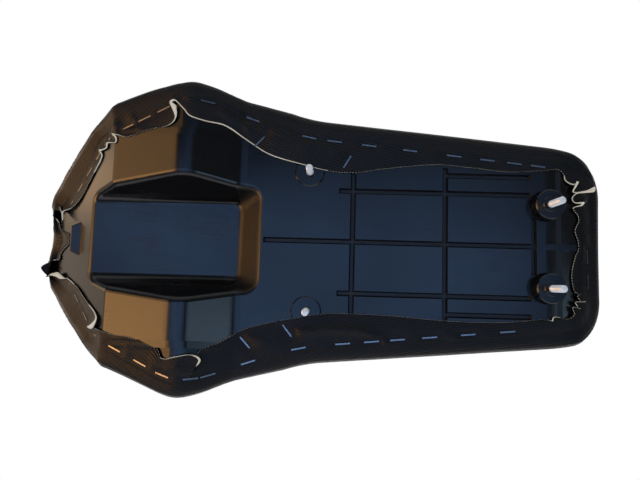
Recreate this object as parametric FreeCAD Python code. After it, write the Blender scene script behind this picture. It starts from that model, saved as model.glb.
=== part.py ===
import FreeCAD, Part
import math
import os
from functools import lru_cache
from FreeCAD import Vector

# Pit bike seat: a moulded plastic pan, a foam cushion, a vinyl cover turned under the rim and
# stapled, and four M6 studs. Millimetres. +X points to the nose, +Y to the rider's left, +Z up.
# The origin lies midway between the front studs, on the flat underside of the pan.

# Outline of the padded body at skirt_level, half of it, from the nose to the tail
skirt_level = -30.0
nose_x = 269.5
nose_half = 38.0
nose_round = 26.0
shoulder_x = 200.0
shoulder_half = 117.0
shoulder_round = 70.0
ridge_x = 100.0
ridge_half = 143.5
ridge_round = 80.0
waist_x = 2.0
waist_half = 110.0
waist_round = 190.0
tail_x = -261.0
tail_half = 83.5
tail_round = 36.0

# How far each corner of the outline leans in, forwards or back and sideways, up to crown_level
crown_level = 120.0
nose_lean = 9.0
nose_side_lean = 3.0
shoulder_lean = 18.0
shoulder_side_lean = 52.0
ridge_lean = 6.0
ridge_side_lean = 54.0
waist_side_lean = 25.0
tail_lean = 8.0
tail_side_lean = 14.0

# Top line of the cushion, seen from the side
tail_top = 60.0
dip_x = -90.0
dip_top = 55.0
rise_x = 90.0
rise_top = 76.0
crest_x = 212.0
crest_top = 117.0
dip_sweep = 500.0
rise_sweep = 300.0
crest_sweep = 110.0
top_round = 16.0

# Underside of the pan, seen from the side
kick_x = -222.0
kick_height = 26.0
kick_round = 70.0
foot_x = 60.0
foot_round = 20.0
hump_x = 103.0
break_x = 172.0
break_round = 12.0
nose_slope = 42.0
flange_drop = 15.0
tier_drop = 21.0
hump_drop = 26.0
hump_round = 24.0
tier_half = 94.0
hump_half = 88.0
hump_draft = 8.0

# Pan wall and rim
wall = 3.0
rim_height = 16.0
rim_round = 6.5

# Boxed recess between the humps
recess_depth = 26.0
recess_back_x = 62.5
recess_half = 37.0
recess_side_draft = 15.0
recess_back_draft = 38.0
recess_corner = 10.0
recess_floor_round = 7.0
recess_edge_round = 6.0

# Flat pad on the nose slope
pad_height = 43.0
pad_reach = 230.0
pad_half = 12.0
pad_flare = 24.0
pad_round = 1.5

# Grooves pressed into the flat plate, with ridges behind them, and a wedge at the tail
groove_width = 4.8
groove_draft = 22.0
groove_depth = 2.8
groove_wall = 2.0
cross_groove_x = (-38.0, -117.0)
cross_groove_half = 64.0
tail_groove_x = -192.0
tail_groove_half = 22.0
centre_groove_start = 36.0
side_groove_y = 44.0
side_groove_start = -28.0
side_groove_end = -187.0
edge_groove_y = 59.5
wedge_start = -199.0
wedge_end = -228.0
wedge_width = 5.0

# Studs and the mouldings round them
stud_radius = 2.95
stud_tip_chamfer = 0.8
neck_radius = 3.4
stud_fit = 0.1
head_flats = 10.0
head_height = 4.0
head_room = 0.5
front_stud_half = 60.0
front_stud_out = 16.0
disc_radius = 13.0
disc_height = 1.0
rear_stud_x = -202.0
rear_stud_half = 35.0
rear_stud_out = 20.0
boss_radius = 12.5
boss_height = 12.0
boss_draft = 4.0
boss_edge = 0.8
collar_radius = 6.5
collar_height = 0.5

# Cover and staples
cover_thickness = 1.2
disc_clearance = 0.3
staple_crown = 12.4
staple_width = 1.2
staple_thickness = 0.6
staple_leg = 3.4
staple_fit = 0.05
staple_inset = 15.5
cross_staple_inset = 32.0
cross_staple_turn = 65.0

# Hem of the turned-under cover: (share of the way from nose to tail, width turned under)
hem_left = ((0.0, 18.0), (0.022, 12.0), (0.05, 9.0), (0.06, 16.0), (0.095, 19.0), (0.16, 22.0),
            (0.207, 19.0), (0.253, 26.0), (0.305, 31.0), (0.327, 15.0), (0.345, 29.0), (0.406, 27.0),
            (0.47, 41.0), (0.558, 42.0), (0.68, 27.0), (0.757, 27.0), (0.83, 21.0), (0.87, 27.0),
            (0.94, 30.0), (1.0, 27.0))
hem_right = ((0.022, 12.0), (0.05, 9.0), (0.06, 15.0), (0.122, 19.0), (0.196, 24.0), (0.243, 30.0),
             (0.293, 32.0), (0.325, 30.0), (0.339, 21.0), (0.35, 29.0), (0.415, 36.0), (0.489, 42.0),
             (0.523, 44.0), (0.604, 40.0), (0.687, 31.0), (0.814, 25.0), (0.87, 28.0), (0.945, 31.0))

# Pleats where the cover is gathered: (share, width at the open end, radius at the open end)
pleats_left = ((0.04, 11.0, 4.5), (0.872, 27.0, 3.5), (0.893, 29.0, 4.0), (0.914, 30.0, 4.5),
               (0.937, 30.0, 3.0))
pleats_right = ((0.04, 11.0, 4.5), (0.878, 26.0, 3.2), (0.904, 27.0, 4.0), (0.928, 29.0, 3.4))
pleat_start = 7.0

# Staples on each side, as shares of the way from the nose to the tail
staples_left = (0.077, 0.11, 0.14, 0.169, 0.198, 0.238, 0.264, 0.293, 0.365, 0.43, 0.506, 0.538,
                0.584, 0.638, 0.696, 0.74, 0.775, 0.806)
staples_right = (0.09, 0.125, 0.16, 0.195, 0.24, 0.28, 0.316, 0.36, 0.385, 0.437, 0.501, 0.555,
                 0.592, 0.625, 0.666, 0.715, 0.765, 0.957, 0.99)
cross_staples_left = (0.449, 0.558)
cross_staples_right = (0.44, 0.492)

far = 400.0
past = 40.0


def moved_corners(corners, inset):
    """Corners (u, v, radius) of a closed anticlockwise outline, moved inwards by inset."""
    result = []
    for i, (u, v, radius) in enumerate(corners):
        before = corners[i - 1]
        after = corners[(i + 1) % len(corners)]
        arriving = Vector(u - before[0], v - before[1], 0).normalize()
        leaving = Vector(after[0] - u, after[1] - v, 0).normalize()
        inward_a = Vector(-arriving.y, arriving.x, 0)
        inward_b = Vector(-leaving.y, leaving.x, 0)
        shift = (inward_a + inward_b) * (inset / (1.0 + inward_a.dot(inward_b)))
        turns_left = arriving.x * leaving.y > arriving.y * leaving.x
        if radius > 0:
            radius += -inset if turns_left else inset
        result.append((u + shift.x, v + shift.y, radius))
    return result


def corner_arc(before, here, after):
    """Start, middle and end of the arc that rounds one corner."""
    point = Vector(here[0], here[1], 0)
    back = (Vector(before[0], before[1], 0) - point).normalize()
    ahead = (Vector(after[0], after[1], 0) - point).normalize()
    half = back.getAngle(ahead) / 2
    trim = here[2] / math.tan(half)
    inwards = (back + ahead).normalize()
    middle = point + inwards * (here[2] / math.sin(half) - here[2])
    return point + back * trim, middle, point + ahead * trim


def rounded_wire(corners, place, closed=True):
    """Wire of straight runs and corner arcs; place turns a flat point into a point in space."""
    count = len(corners)
    arcs = []
    for i, corner in enumerate(corners):
        if corner[2] > 0:
            arcs.append(corner_arc(corners[i - 1], corner, corners[(i + 1) % count]))
        else:
            arcs.append((Vector(corner[0], corner[1], 0),) * 3)
    edges = []
    for i, (start, middle, end) in enumerate(arcs):
        if corners[i][2] > 0:
            edges.append(Part.Arc(place(start), place(middle), place(end)).toShape())
        if closed or i < count - 1:
            following = arcs[(i + 1) % count][0]
            edges.append(Part.LineSegment(place(end), place(following)).toShape())
    return Part.Wire(edges)


def at_level(level):
    return lambda point: Vector(point.x, point.y, level)


def on_side(y):
    return lambda point: Vector(point.x, y, point.y)


# Plan of the padded body

def half_outline(level_of):
    """Left-hand corners of the outline, each at the level that level_of gives for its x."""
    corners = (
        (nose_x, nose_half, nose_lean, nose_side_lean, nose_round),
        (shoulder_x, shoulder_half, shoulder_lean, shoulder_side_lean, shoulder_round),
        (ridge_x, ridge_half, ridge_lean, ridge_side_lean, ridge_round),
        (waist_x, waist_half, 0.0, waist_side_lean, waist_round),
        (tail_x, tail_half, -tail_lean, tail_side_lean, tail_round),
    )
    result = []
    for x, y, lean, side_lean, radius in corners:
        share = (level_of(x) - skirt_level) / (crown_level - skirt_level)
        result.append((x - lean * share, y - side_lean * share, radius))
    return result


def full_outline(half):
    return half + [(x, -y, radius) for x, y, radius in reversed(half)]


def outline_wire(level, inset):
    corners = full_outline(half_outline(lambda x: level))
    return rounded_wire(moved_corners(corners, inset), at_level(level))


def leaning_block(inset):
    """Body between the skirt and the crown, with sides that lean in, moved inwards by inset."""
    wires = [outline_wire(skirt_level, inset), outline_wire(crown_level, inset)]
    return Part.makeLoft(wires, True, True)


# Side view of the pan and the cushion

def nose_height(x):
    return (x - break_x) * math.tan(math.radians(nose_slope))


def underside(drop):
    """Corners of the pan's underside from tail to nose, with its ridge lowered by drop."""
    reach = nose_x + wall
    return [
        (tail_x - wall, kick_height, 0.0),
        (kick_x, 0.0, kick_round),
        (foot_x, 0.0, foot_round),
        (hump_x, -drop, hump_round),
        (break_x, 0.0, break_round),
        (reach, nose_height(reach), 0.0),
    ]


def top_line():
    """Corners of the cushion's top line from nose to tail."""
    reach = nose_x + wall
    return [
        (reach, crest_top, 0.0),
        (crest_x, crest_top, crest_sweep),
        (rise_x, rise_top, rise_sweep),
        (dip_x, dip_top, dip_sweep),
        (tail_x - wall, tail_top, 0.0),
    ]


def across(corners, inset, half_width):
    """Prism across the seat from a side-view outline, moved inwards by inset."""
    wire = rounded_wire(moved_corners(corners, inset), on_side(-half_width))
    return Part.Face(wire).extrude(Vector(0, 2 * half_width, 0))


def above_flange(lift):
    """Everything above the flange line lifted by lift."""
    corners = underside(flange_drop) + [(nose_x + wall, far, 0.0), (tail_x - wall, far, 0.0)]
    return across(corners, lift, far)


def faces_across(shape):
    """Faces of a prism that runs straight across the seat."""
    found = []
    for face in shape.Faces:
        first_u, last_u, first_v, last_v = face.ParameterRange
        shares = (0.2, 0.5, 0.8)
        slopes = [
            abs(face.normalAt(first_u + s * (last_u - first_u), first_v + t * (last_v - first_v)).y)
            for s in shares for t in shares
        ]
        if max(slopes) < 1e-6:
            found.append(face)
    return found


def edges_round(solid, looking_up):
    """Edges where the sides meet the prism faces that look up, or those that look down."""
    flat = faces_across(solid)
    chosen = []
    for edge in solid.Edges:
        faces = solid.ancestorsOfType(edge, Part.Face)
        prisms = [face for face in faces if any(face.isSame(other) for other in flat)]
        if len(prisms) != 1:
            continue
        first_u, last_u, first_v, last_v = prisms[0].ParameterRange
        normal = prisms[0].normalAt((first_u + last_u) / 2, (first_v + last_v) / 2)
        if (normal.z > 0) == looking_up:
            chosen.append(edge)
    return chosen


def padded_body(inset):
    """Outside of pan and foam together, with rounded edges, moved inwards by inset."""
    side = across(underside(flange_drop) + top_line(), inset, far)
    solid = leaning_block(inset).common(side).Solids[0]
    solid = solid.makeFillet(rim_round - inset, edges_round(solid, False))
    return solid.makeFillet(top_round - inset, edges_round(solid, True))


# Pan

def slab(half_width, inset):
    """Long bar along the seat with drafted sides, standing on the flat underside."""
    lean = math.tan(math.radians(hump_draft))
    deep = hump_drop + wall
    tall = recess_depth
    outer = half_width - inset
    section = [
        (-outer + deep * lean, -deep), (outer - deep * lean, -deep),
        (outer + tall * lean, tall), (-outer - tall * lean, tall),
    ]
    start = foot_x - foot_round
    points = [Vector(start, y, z) for y, z in section]
    face = Part.Face(Part.makePolygon(points + points[:1]))
    return face.extrude(Vector(break_x + foot_round - start, 0, 0))


def hump_form(drop, half_width, inset):
    """Humps of one tier: everything above their side-view line, within their own width."""
    corners = underside(drop) + [(nose_x + wall, far, 0.0), (tail_x - wall, far, 0.0)]
    return across(corners, inset, far).common(slab(half_width, inset))


def humps(inset):
    """Both tiers of the humps, moved inwards by inset."""
    return [hump_form(tier_drop, tier_half, inset), hump_form(hump_drop, hump_half, inset)]


def pan_room():
    """Space inside the pan's wall, open at the top."""
    base = leaning_block(wall).common(above_flange(wall)).Solids[0]
    return base.fuse(humps(wall)).removeSplitter().cut(recess(wall))


def recess(growth):
    """Space under the recess floor, grown by growth into the pan."""
    deep = hump_drop + past
    side_run = math.tan(math.radians(recess_side_draft)) * (recess_depth + deep)
    back_run = math.tan(math.radians(recess_back_draft)) * (recess_depth + deep)
    reach = nose_x + wall

    def mouth(back_x, half_width, corner, level):
        corners = [
            (reach, -half_width, 0.0), (reach, half_width, 0.0),
            (back_x, half_width, corner), (back_x, -half_width, corner),
        ]
        return rounded_wire(moved_corners(corners, -growth), at_level(level))

    top = mouth(recess_back_x, recess_half, recess_corner, recess_depth + growth)
    bottom = mouth(recess_back_x - back_run, recess_half + side_run, recess_corner, -deep)
    solid = Part.makeLoft([top, bottom], True, True)
    lid = [edge for edge in solid.Edges if edge.BoundBox.ZMin > recess_depth + growth - 0.01]
    lid = [edge for edge in lid if edge.BoundBox.XMin < reach]
    return solid.makeFillet(recess_floor_round + growth, lid)


def shared_edges(solid, first, second):
    """Edges of a solid whose middles lie on the skins of both other shapes."""
    chosen = []
    for edge in solid.Edges:
        middle = Part.Vertex(edge.valueAt((edge.FirstParameter + edge.LastParameter) / 2))
        if all(middle.distToShape(shape.Shells[0])[0] < 0.001 for shape in (first, second)):
            chosen.append(edge)
    return chosen


def hollowed_pan(body):
    """Pan wall with its recess and rim, before grooves, bosses and holes."""
    form = body.fuse(humps(0.0)).removeSplitter().Solids[0]
    space = recess(0.0)
    outside = form.cut(space).Solids[0]
    outside = outside.makeFillet(recess_edge_round, shared_edges(outside, form, space))
    above_rim = above_flange(rim_height).cut(recess(2 * wall))
    return outside.cut(pan_room()).cut(above_rim)


def groove_lines():
    """Middle lines of the grooves: start and end in x, then in y."""
    lines = [(tail_groove_x, centre_groove_start, 0.0, 0.0)]
    lines += [(x, x, -cross_groove_half, cross_groove_half) for x in cross_groove_x]
    lines.append((tail_groove_x, tail_groove_x, -tail_groove_half, tail_groove_half))
    for side in (1, -1):
        lines.append((side_groove_end, side_groove_start, side * side_groove_y, side * side_groove_y))
        lines.append((side_groove_end, cross_groove_x[-1], side * edge_groove_y, side * edge_groove_y))
    return lines


def groove_bars(low, low_half, high, high_half):
    """Bars along the grooves with sloping sides: two heights and half the width at each."""
    bars = []
    for x_start, x_end, y_start, y_end in groove_lines():
        bar = Part.makeWedge(
            x_start - low_half, low, -y_end - low_half, -y_end - high_half, x_start - high_half,
            x_end + low_half, high, low_half - y_start, high_half - y_start, x_end + high_half,
        )
        bars.append(bar.rotate(Vector(0, 0, 0), Vector(1, 0, 0), 90))
    return bars


def groove_cuts():
    """Grooves that narrow towards their floors, with some room below the plate."""
    slope = math.tan(math.radians(groove_draft))
    half = groove_width / 2
    return groove_bars(-groove_wall, half + groove_wall * slope, groove_depth, half - groove_depth * slope)


def groove_ridges():
    """Ridges on the foam side of the plate, over the grooves."""
    half = groove_width / 2 + groove_wall
    return groove_bars(wall / 2, half, groove_depth + groove_wall, half)


def tail_wedge():
    """Short wedge that keeps the level of the plate where the plate curves up."""
    corner = Vector(wedge_end, -wedge_width / 2, 0.0)
    return Part.makeBox(wedge_start - wedge_end, wedge_width, kick_height, corner)


def nose_pad():
    """Small flat shelf on the nose slope, narrower towards the nose."""
    back = break_x + pad_height / math.tan(math.radians(nose_slope)) - 2 * wall
    flare = pad_half + (pad_reach - back) * math.tan(math.radians(pad_flare))
    points = [
        Vector(pad_reach, -pad_half, pad_height), Vector(pad_reach, pad_half, pad_height),
        Vector(back, flare, pad_height), Vector(back, -flare, pad_height),
    ]
    face = Part.Face(Part.makePolygon(points + points[:1]))
    block = face.extrude(Vector(0, 0, past))
    low = [edge for edge in block.Edges if edge.BoundBox.XMax > back + 1.0]
    return block.makeFillet(pad_round, low)


def turned(profile, x, y):
    """Solid of revolution about the upright line at (x, y) from (radius, height) corners."""
    points = [Vector(x + radius, y, height) for radius, height in profile]
    face = Part.Face(Part.makePolygon(points + points[:1]))
    return face.revolve(Vector(x, y, 0), Vector(0, 0, 1), 360)


def stud_places():
    """Name, x, y, height of the moulding below the plate and length of stud below that."""
    places = []
    for side, sign in (("left", 1), ("right", -1)):
        places.append(("front_stud_" + side, 0.0, sign * front_stud_half, disc_height, front_stud_out))
        places.append(("rear_stud_" + side, rear_stud_x, sign * rear_stud_half, boss_height,
                       rear_stud_out))
    return places


def boss(x, y):
    """Tall drafted boss with a low collar on its face."""
    face = collar_height - boss_height
    foot_radius = boss_radius + boss_height * math.tan(math.radians(boss_draft))
    return turned([
        (0.0, wall / 2), (foot_radius, wall / 2), (foot_radius, 0.0), (boss_radius, face + boss_edge),
        (boss_radius - boss_edge, face), (collar_radius, face), (collar_radius - collar_height, -boss_height),
        (0.0, -boss_height),
    ], x, y)


def disc(x, y):
    """Low flat disc with a bevelled edge, round a front stud."""
    return turned([
        (0.0, wall / 2), (disc_radius, wall / 2), (disc_radius, 0.0),
        (disc_radius - disc_height, -disc_height), (0.0, -disc_height),
    ], x, y)


def disc_cutout(x, y):
    """Cut-out in the hem round a front disc."""
    base = Vector(x, y, -disc_height - wall)
    return Part.makeCylinder(disc_radius + disc_clearance, disc_height + 2 * wall, base)


def seat_pan(body):
    outer = [nose_pad(), tail_wedge()]
    for name, x, y, height, out in stud_places():
        outer.append(boss(x, y) if name.startswith("rear") else disc(x, y))
    inner = above_flange(wall / 2)
    outer = [piece.cut(inner) for piece in outer]
    pan = hollowed_pan(body).fuse(outer + groove_ridges()).removeSplitter()
    holes = [stud_hole(x, y, height) for name, x, y, height, out in stud_places()]
    holes += [head_pocket(x, y) for name, x, y, height, out in stud_places()]
    return pan.cut(holes + groove_cuts() + staple_legs())


# Studs

def stud_hole(x, y, height):
    tall = height + 2 * wall
    return Part.makeCylinder(neck_radius + stud_fit, tall, Vector(x, y, -height - wall / 2))


def stud(x, y, height, out):
    """Headed stud: the head sits on the foam side, a plain neck fills the hole in the pan."""
    tip = -height - out
    shank = turned([
        (0.0, wall), (neck_radius, wall), (neck_radius, -height), (stud_radius, -height),
        (stud_radius, tip + stud_tip_chamfer), (stud_radius - stud_tip_chamfer, tip), (0.0, tip),
    ], x, y)
    corner = head_flats / math.sqrt(3)
    points = [
        Vector(x + corner * math.cos(i * math.pi / 3), y + corner * math.sin(i * math.pi / 3), wall)
        for i in range(7)
    ]
    head = Part.Face(Part.makePolygon(points)).extrude(Vector(0, 0, head_height))
    return shank.fuse(head).removeSplitter()


def head_pocket(x, y):
    """Room for one stud head, on the foam side of the plate."""
    radius = head_flats / math.sqrt(3) + head_room
    return Part.makeCylinder(radius, head_height + head_room, Vector(x, y, wall))


# Foam

def foam_cushion(body):
    room = pan_room().fuse(above_flange(rim_height).cut(recess(wall)))
    foam = body.common(room)
    pockets = [head_pocket(x, y) for name, x, y, height, out in stud_places()]
    return foam.cut(pockets + groove_ridges())


# Rim path, along which the hem and the staples lie

def flange_point(x, lift):
    """Point of the flange line at x and its direction towards the nose."""
    corners = underside(flange_drop) + [(nose_x + wall, far, 0.0), (tail_x - wall, far, 0.0)]
    wire = rounded_wire(moved_corners(corners, lift), on_side(0.0))
    upright = Part.makeLine(Vector(x, 0, -far), Vector(x, 0, far - past))
    best = None
    for edge in wire.Edges:
        distance, pairs, info = edge.distToShape(upright)
        height = pairs[0][0].z
        if distance < 1e-6 and (best is None or height < best[0]):
            tangent = edge.tangentAt(edge.Curve.parameter(pairs[0][0]))
            best = (height, tangent if tangent.x > 0 else -tangent)
    return Vector(x, 0, best[0]), best[1]


def flange_level(x):
    return flange_point(max(x, tail_x), 0.0)[0].z


@lru_cache
def rim_path():
    """Left half of the rim from nose to tail, seen from above."""
    left = half_outline(flange_level)
    path = [(left[0][0], 0.0, 0.0)] + left + [(left[-1][0], 0.0, 0.0)]
    return rounded_wire(path, at_level(0.0), closed=False)


def along(path, share):
    """Point and direction at a share of the length of a path."""
    remaining = share * path.Length
    for edge in path.Edges:
        if remaining <= edge.Length or edge.isSame(path.Edges[-1]):
            at = edge.getParameterByLength(min(remaining, edge.Length))
            return edge.valueAt(at), edge.tangentAt(at)
        remaining -= edge.Length


def rim_place(share, inset, side):
    """Place on the cover's underside, the way along the rim and the way out of the cover."""
    rim, direction = along(rim_path(), share)
    place = rim + Vector(direction.y, -direction.x, 0) * -inset
    seat, slope = flange_point(place.x, -cover_thickness)
    middle = Vector(place.x, side * place.y, seat.z)
    rise = direction.x * slope.z / slope.x
    onward = Vector(direction.x, side * direction.y, rise).normalize()
    return middle, onward, Vector(slope.z, 0, -slope.x)


# Staples

def staple_frames():
    """Middle of each crown on the cover, the crown's direction and the way out of the cover."""
    frames = []
    for side, shares in ((1, staples_left), (-1, staples_right)):
        frames += [rim_place(share, staple_inset, side) for share in shares]
    for side, shares in ((1, cross_staples_left), (-1, cross_staples_right)):
        for share in shares:
            middle, onward, out = rim_place(share, cross_staple_inset, side)
            turn = FreeCAD.Rotation(out, side * cross_staple_turn)
            frames.append((middle, turn.multVec(onward), out))
    return frames


def staple_block(frame, corners, half_width):
    """Block from an outline along the crown and outwards, in one staple's own frame."""
    middle, crown, out = frame
    across_way = crown.cross(out).normalize()
    points = [middle + crown * u + out * v - across_way * half_width for u, v in corners]
    face = Part.Face(Part.makePolygon(points + points[:1]))
    return face.extrude(across_way * (2 * half_width))


def staple_legs():
    """Room that the legs of every staple need in the cover and the pan."""
    outer = staple_crown / 2 + staple_fit
    inner = staple_crown / 2 - staple_thickness - staple_fit
    deep = -staple_leg - staple_fit
    legs = []
    for frame in staple_frames():
        for side in (1, -1):
            corners = [(side * inner, deep), (side * outer, deep),
                       (side * outer, staple_thickness), (side * inner, staple_thickness)]
            legs.append(staple_block(frame, corners, staple_width / 2 + staple_fit))
    return legs


def staple(frame):
    half = staple_crown / 2
    inner = half - staple_thickness
    corners = [
        (-half, staple_thickness), (half, staple_thickness), (half, -staple_leg), (inner, -staple_leg),
        (inner, 0.0), (-inner, 0.0), (-inner, -staple_leg), (-half, -staple_leg),
    ]
    return staple_block(frame, corners, staple_width / 2)


def staples():
    return Part.Compound([staple(frame) for frame in staple_frames()])


# Cover

def hem_face():
    """Opening that the hem leaves under the seat, as a flat face far below it."""
    left = [rim_place(share, width, 1)[0] for share, width in hem_left]
    right = [rim_place(share, width, -1)[0] for share, width in hem_right]
    loop = left + right[::-1]
    points = [Vector(point.x, point.y, -far) for point in loop]
    return Part.Face(Part.makePolygon(points + points[:1]))


def pleat(share, width, radius, side):
    """Hollow fold that opens at the hem and runs out at the rim."""
    start = rim_place(share, pleat_start, side)[0]
    end = rim_place(share, width, side)[0]
    way = end - start
    outer = Part.makeCone(0.0, radius, way.Length, start, way)
    slip = cover_thickness * way.Length / radius
    inner = Part.makeCone(0.0, radius, way.Length, start + way * (slip / way.Length), way)
    return outer, inner


def seat_cover(body):
    opening = hem_face().extrude(Vector(0, 0, 2 * far)).cut(above_flange(wall))
    folds = [pleat(share, width, radius, 1) for share, width, radius in pleats_left]
    folds += [pleat(share, width, radius, -1) for share, width, radius in pleats_right]
    cover = padded_body(-cover_thickness).cut(opening).fuse([outer for outer, inner in folds])
    cover = cover.cut([body] + [inner for outer, inner in folds])
    cutouts = [disc_cutout(0.0, side * front_stud_half) for side in (1, -1)]
    return cover.cut(cutouts + humps(0.0) + staple_legs())


def main():
    os.makedirs("parts", exist_ok=True)
    body = padded_body(0.0)
    nodes = {
        "seat_pan": seat_pan(body),
        "foam_cushion": foam_cushion(body),
        "seat_cover": seat_cover(body),
        "staples": staples(),
    }
    for name, x, y, height, out in stud_places():
        nodes[name] = stud(x, y, height, out)
    for name, shape in nodes.items():
        solids = shape.Solids
        print(name, "solids", len(solids), "valid", shape.isValid(), "volume", round(shape.Volume))
        shape.exportStep("parts/" + name + ".step")


main()
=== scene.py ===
import bmesh
import bpy
import math
import numpy as np
from mathutils import Matrix, Vector
from mathutils.bvhtree import BVHTree
from mathutils.kdtree import KDTree


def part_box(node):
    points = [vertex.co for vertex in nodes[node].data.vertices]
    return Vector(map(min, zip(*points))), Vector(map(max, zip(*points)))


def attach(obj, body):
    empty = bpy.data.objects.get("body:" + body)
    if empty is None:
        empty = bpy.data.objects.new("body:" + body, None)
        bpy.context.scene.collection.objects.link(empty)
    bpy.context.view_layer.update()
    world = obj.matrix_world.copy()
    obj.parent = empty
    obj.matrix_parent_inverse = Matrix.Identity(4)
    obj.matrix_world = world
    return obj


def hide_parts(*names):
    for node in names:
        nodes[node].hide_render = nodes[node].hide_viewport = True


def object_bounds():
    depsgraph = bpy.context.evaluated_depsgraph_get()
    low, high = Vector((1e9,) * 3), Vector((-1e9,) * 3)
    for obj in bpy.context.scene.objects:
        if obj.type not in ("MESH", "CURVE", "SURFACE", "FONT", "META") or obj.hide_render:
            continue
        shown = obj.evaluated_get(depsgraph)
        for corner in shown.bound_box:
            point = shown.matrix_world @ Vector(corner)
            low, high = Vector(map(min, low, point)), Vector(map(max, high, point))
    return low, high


# Pit bike seat, seen from below. Metres; +X to the nose, +Y to the rider's left, +Z up.
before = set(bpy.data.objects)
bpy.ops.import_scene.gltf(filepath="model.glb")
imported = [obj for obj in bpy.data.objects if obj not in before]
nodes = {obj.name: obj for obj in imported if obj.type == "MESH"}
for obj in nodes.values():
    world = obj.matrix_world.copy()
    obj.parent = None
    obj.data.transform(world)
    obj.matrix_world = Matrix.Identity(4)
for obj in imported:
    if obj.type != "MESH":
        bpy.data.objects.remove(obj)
cad_box = [list(corner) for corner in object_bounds()]
MM = 0.001
UP = np.array((0.0, 0.0, 1.0))

# Rim of the pan seen from above, left half, nose to tail: x, y and corner radius in millimetres
RIM = [(262.4, 35.6, 26.0), (193.4, 97.9, 70.0), (99.4, 137.6, 80.0), (2.0, 105.0, 190.0), (-258.1, 78.5, 36.0)]
# Flange of the pan seen from the side, tail to nose: x, z and corner radius in millimetres
FLANGE = [(-264.0, 26.0, 0.0), (-222.0, 0.0, 70.0), (60.0, 0.0, 20.0), (103.0, -15.0, 24.0), (172.0, 0.0, 12.0),
          (272.5, 90.5, 0.0)]
# Thickness of the cover in millimetres, and places counted along its cut edge
COVER = 1.2
STATIONS = 1240

# Cut edge of the cover, nose to tail. Each point: share of the way round the rim that it hangs from, x, y (outwards),
# how far it stands off the pan, and how much of the pale backing shows along the cut, in millimetres
EDGE_LEFT = [
    # tongue on the nose and the open fold beside it
    (0.0, 239, 0, 0.4, 0.15), (0.007, 240, 5, 0.4, 0.15), (0.012, 247, 8, 0.3, 0.15), (0.018, 255, 12, 0.3, 0.15),
    (0.027, 257, 18, 0.3, 0.15), (0.033, 260, 23, 1.5, 0.4), (0.039, 265, 29, 3.0, 0.6), (0.044, 257, 37, 2.0, 0.2),
    (0.048, 248, 28, 5.0, 0.4), (0.051, 242, 19, 6.5, 0.4), (0.056, 246, 28, 5.0, 0.4), (0.075, 236, 31, 2.0, 0.2),
    (0.092, 226, 36, 1.0, 0.15), (0.104, 220, 41, 0.5, 0.15), (0.14, 205, 57, 0.5, 0.15),
    # stepped tucks on the flank
    (0.17, 190, 74, 0.6, 0.4), (0.178, 193, 79, 1.5, 1.1), (0.19, 183, 80, 1.0, 0.4), (0.197, 182, 84, 1.2, 0.8),
    (0.208, 171, 82, 0.8, 0.4), (0.213, 171, 86, 1.2, 1.1), (0.219, 175, 90, 1.6, 1.1), (0.226, 167, 88, 0.8, 0.3),
    (0.236, 160, 86, 0.4, 0.15), (0.257, 145, 90, 0.3, 0.2), (0.283, 128, 93, 0.5, 0.2), (0.296, 119, 96, 1.0, 0.3),
    # rounded notch with its backing turned out
    (0.304, 115, 101, 1.8, 0.8), (0.31, 118, 109, 2.5, 4.4), (0.315, 120, 114, 3.0, 1.9), (0.32, 116, 116, 2.5, 0.9),
    (0.327, 108, 109, 1.5, 0.8), (0.336, 103, 103, 1.0, 0.8), (0.361, 92, 100, 0.5, 0.8), (0.4, 75, 98, 0.4, 0.8),
    # long plain run past the front stud to the tail
    (0.428, 59, 89, 0.4, 0.8), (0.465, 36, 75, 0.4, 0.7), (0.508, 5, 66, 1.0, 0.5), (0.537, -17, 61, 0.6, 0.15),
    (0.567, -37, 60, 0.5, 0.15), (0.607, -63, 64, 0.3, 0.15), (0.641, -87, 67, 0.3, 0.15),
    (0.68, -112, 69, 0.3, 0.15), (0.72, -138, 67, 0.3, 0.15), (0.769, -171, 64, 0.3, 0.15),
    (0.815, -201, 66, 0.4, 0.15),
    # gathers round the corner
    (0.834, -214, 67, 0.5, 0.15), (0.842, -218, 63, 1.0, 0.15), (0.85, -219, 58, 1.5, 0.4),
    (0.857, -225, 55, 3.0, 0.9), (0.863, -230, 58, 4.0, 2.6), (0.869, -226, 52, 4.5, 0.9),
    (0.874, -224, 48, 4.0, 0.5), (0.88, -235, 50, 5.0, 0.9), (0.886, -247, 55, 5.0, 3.0), (0.892, -246, 51, 5.5, 3.0),
    (0.898, -235, 48, 5.5, 1.6), (0.904, -226, 46, 4.5, 0.5), (0.91, -223, 42, 4.0, 0.3), (0.918, -225, 39, 4.0, 0.3),
    (0.926, -235, 40, 4.0, 1.6), (0.932, -233, 37, 3.5, 1.2), (0.94, -225, 34, 2.5, 0.15),
    (0.955, -231, 28, 1.5, 0.15), (0.965, -232, 24, 1.2, 0.15), (0.976, -228, 15, 1.0, 0.15),
    (0.988, -231, 7, 0.8, 0.15), (1.0, -232, 0, 0.6, 0.15)]
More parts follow.
